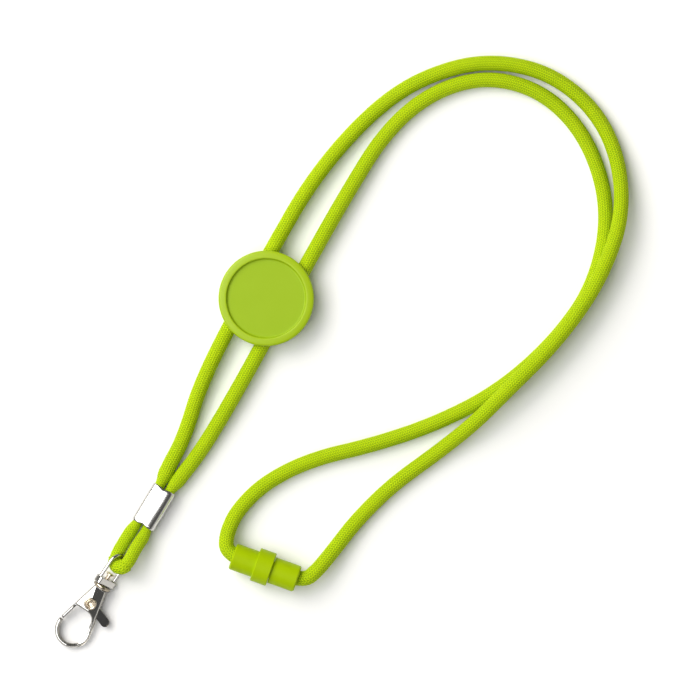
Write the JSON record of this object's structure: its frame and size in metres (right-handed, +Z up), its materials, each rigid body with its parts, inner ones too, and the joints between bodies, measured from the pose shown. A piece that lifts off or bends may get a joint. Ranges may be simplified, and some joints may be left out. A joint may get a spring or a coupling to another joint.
{
  "type": "lanyard badge holder",
  "caption": "Round braided cord lanyard laid flat, with a disc slider, a pull-apart connector, a crimped ferrule and a swivel hook with a spring gate.",
  "frame": {"origin": "centre of the disc slider's back face, on the table", "axes": "+Z up out of the slider's front face; the lanyard lies flat in X-Y, its neck loop towards +X and +Y and its hook towards -X and -Y"},
  "size_m": [0.1896, 0.1964, 0.0113],
  "materials": {
    "green_cord": "matte",
    "green_plastic": "satin",
    "nickel_plate": "polished",
    "spring_steel": "satin"
  },
  "bodies": {
    "cord": {"cord_inner_strand": "green_cord", "cord_outer_strand_fixed": "green_cord", "hook_loop_cord": "green_cord", "crimped_cord": "green_cord", "crimp_ferrule": "nickel_plate", "breakaway_socket": "green_plastic"},
    "slider": {"slider_back_shell": "green_plastic", "slider_front_shell": "green_plastic"},
    "release_half": {"cord_outer_strand_free": "green_cord", "breakaway_plug": "green_plastic"},
    "eye": {"swivel_eye": "nickel_plate"},
    "hook": {"hook_body": "nickel_plate", "swivel_stud": "nickel_plate", "gate_rivet": "nickel_plate", "gate_spring": "spring_steel"},
    "gate": {"gate_lever": "nickel_plate"}
  },
  "joints": [
    {"name": "breakaway_release", "type": "hinge", "parent": "cord", "child": "release_half", "pos_m": [0.0623, 0.07615, 0.0025], "axis": [0, 0, 1], "range_deg": [0, 4.4]},
    {"name": "slider_slide", "type": "slide", "parent": "cord", "child": "slider", "axis": [0.481, 0.8767, 0], "range_m": [-0.006, 0.014]},
    {"name": "eye_swing", "type": "hinge", "parent": "cord", "child": "eye", "pos_m": [-0.04918, -0.08754, 0.00442], "axis": [0.583, -0.4647, 0.6665], "range_deg": [-20, 20]},
    {"name": "hook_swivel", "type": "hinge", "parent": "eye", "child": "hook", "pos_m": [-0.05419, -0.09497, 0.00362], "axis": [0.557, 0.8258, 0.0885], "continuous": true},
    {"name": "gate_hinge", "type": "hinge", "parent": "hook", "child": "gate", "pos_m": [-0.05796, -0.10056, 0.00302], "axis": [-0.0495, -0.0734, 0.9961], "range_deg": [0, 26], "stiffness_Nm_per_rad": 0.004, "springref_deg": -20.05, "deforming": ["gate_spring"]}
  ]
}
